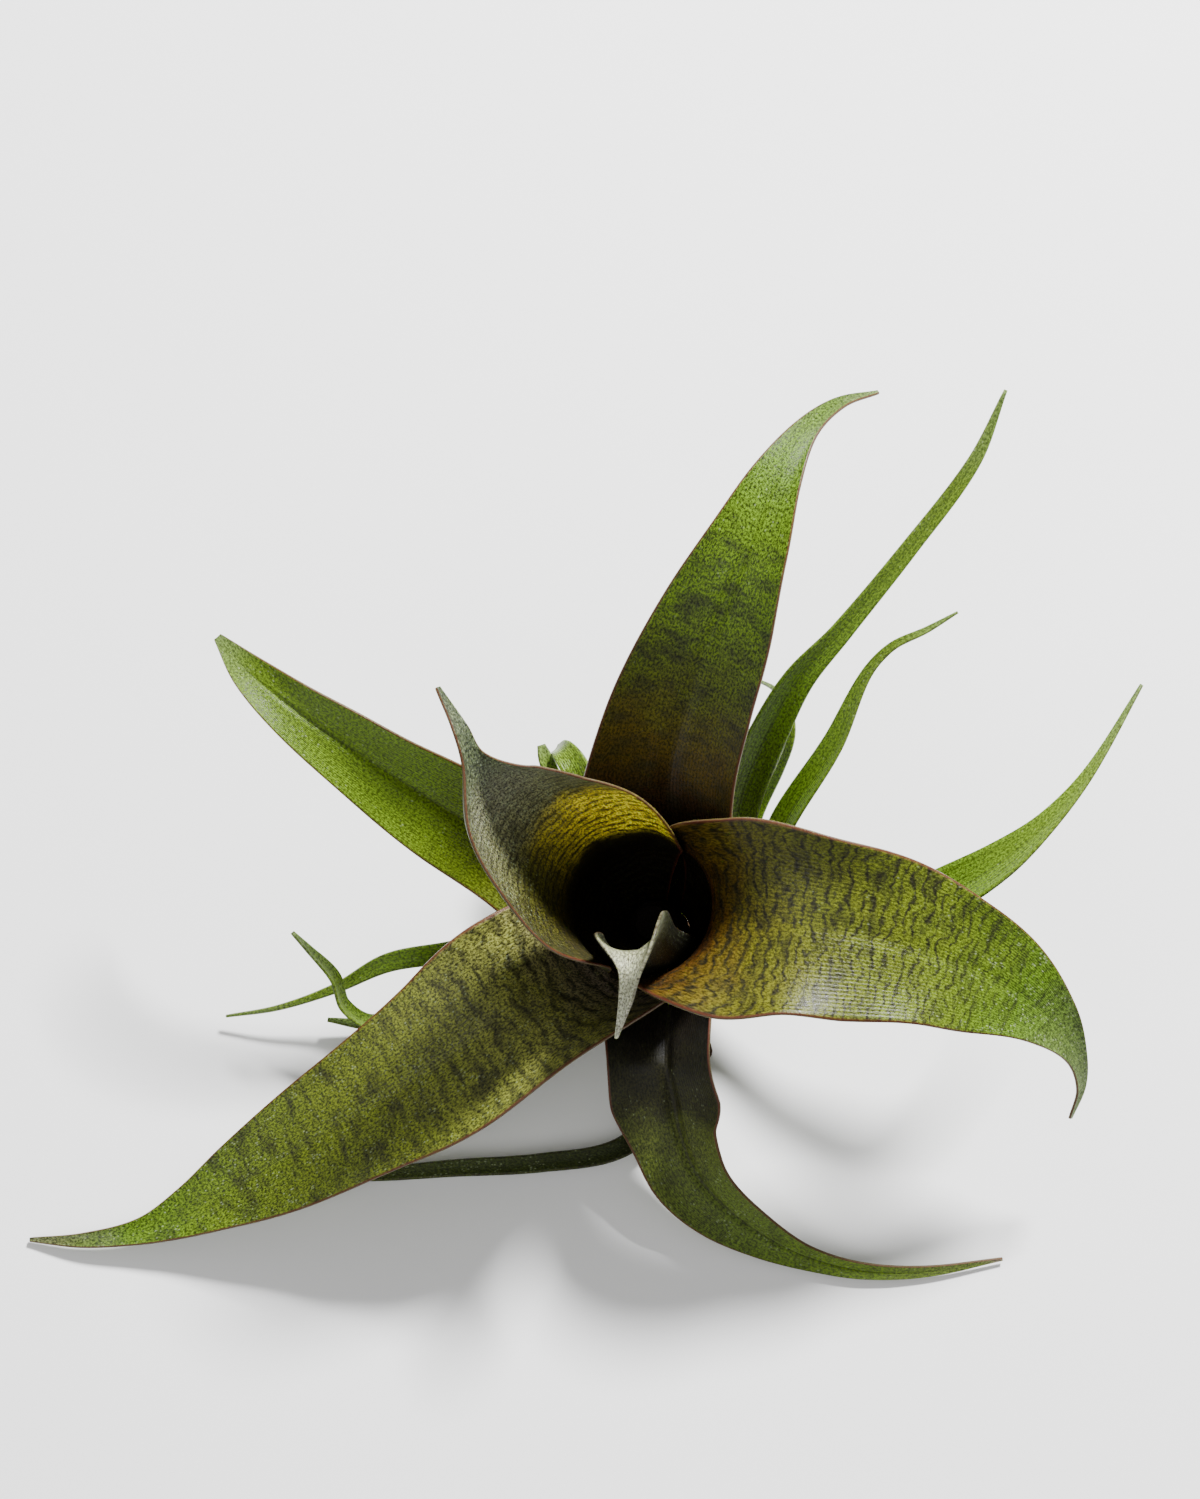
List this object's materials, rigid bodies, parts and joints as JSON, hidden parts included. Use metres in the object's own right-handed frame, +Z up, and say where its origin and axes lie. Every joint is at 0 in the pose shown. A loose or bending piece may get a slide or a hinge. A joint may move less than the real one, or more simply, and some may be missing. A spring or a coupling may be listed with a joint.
{
  "type": "bromeliad plant",
  "caption": "Small bare-rooted vriesea: a leaning rosette of strap leaves with overlapping sheaths round an open water tank, narrow outer leaves, a short stem and wiry roots.",
  "frame": {"origin": "middle of the stem's flat cut foot, on the surface that the plant rests on", "axes": "+Z up, +X to the plant's right along its widest spread, -Y to its front, the side the rosette leans and its lowest leaves reach"},
  "size_m": [0.2205, 0.1587, 0.0931],
  "materials": {
    "mottled_blade": "semi-gloss leaf, yellow-green with dense dark purple transverse mottling, maroon towards the tank, silvery scurf",
    "cup_blade": "satin leaf, olive inside with fine dark wavy cross lines, grey-green scurf towards the tip",
    "dark_blade": "semi-gloss leaf, almost black at the base to bright green with a scurfy grey bloom",
    "green_blade": "semi-gloss fresh green leaf with a few dark flecks near its base",
    "pale_young_blade": "matt silvery green young leaf with whitish nerves",
    "dark_narrow_blade": "satin dark green narrow leaf",
    "narrow_green_blade": "satin bright green narrow leaf with a darker midline and greyish tip",
    "stem_bark": "rough brown stump with old leaf scars",
    "root_skin": "matt wiry brown root"
  },
  "bodies": {
    "root": {"stem": "stem_bark", "leaf_front_young": "pale_young_blade", "leaf_left_cup": "cup_blade", "leaf_right_broad": "mottled_blade", "leaf_front_long": "mottled_blade", "leaf_back_tall": "mottled_blade", "leaf_front_curling": "dark_blade", "leaf_left_back": "green_blade", "leaf_right_narrow": "narrow_green_blade", "leaf_back_high": "narrow_green_blade", "leaf_back_right": "narrow_green_blade", "leaf_back_short": "narrow_green_blade", "leaf_back_tiny": "narrow_green_blade", "leaf_front_low": "dark_narrow_blade", "leaf_left_straight": "narrow_green_blade", "leaf_left_hooked": "narrow_green_blade", "leaf_left_small": "narrow_green_blade", "leaf_back_thread": "narrow_green_blade", "root_right": "root_skin", "root_back_right": "root_skin", "root_back": "root_skin", "root_back_left": "root_skin", "root_left": "root_skin", "root_front_left": "root_skin", "root_front_right": "root_skin"}
  },
  "joints": []
}
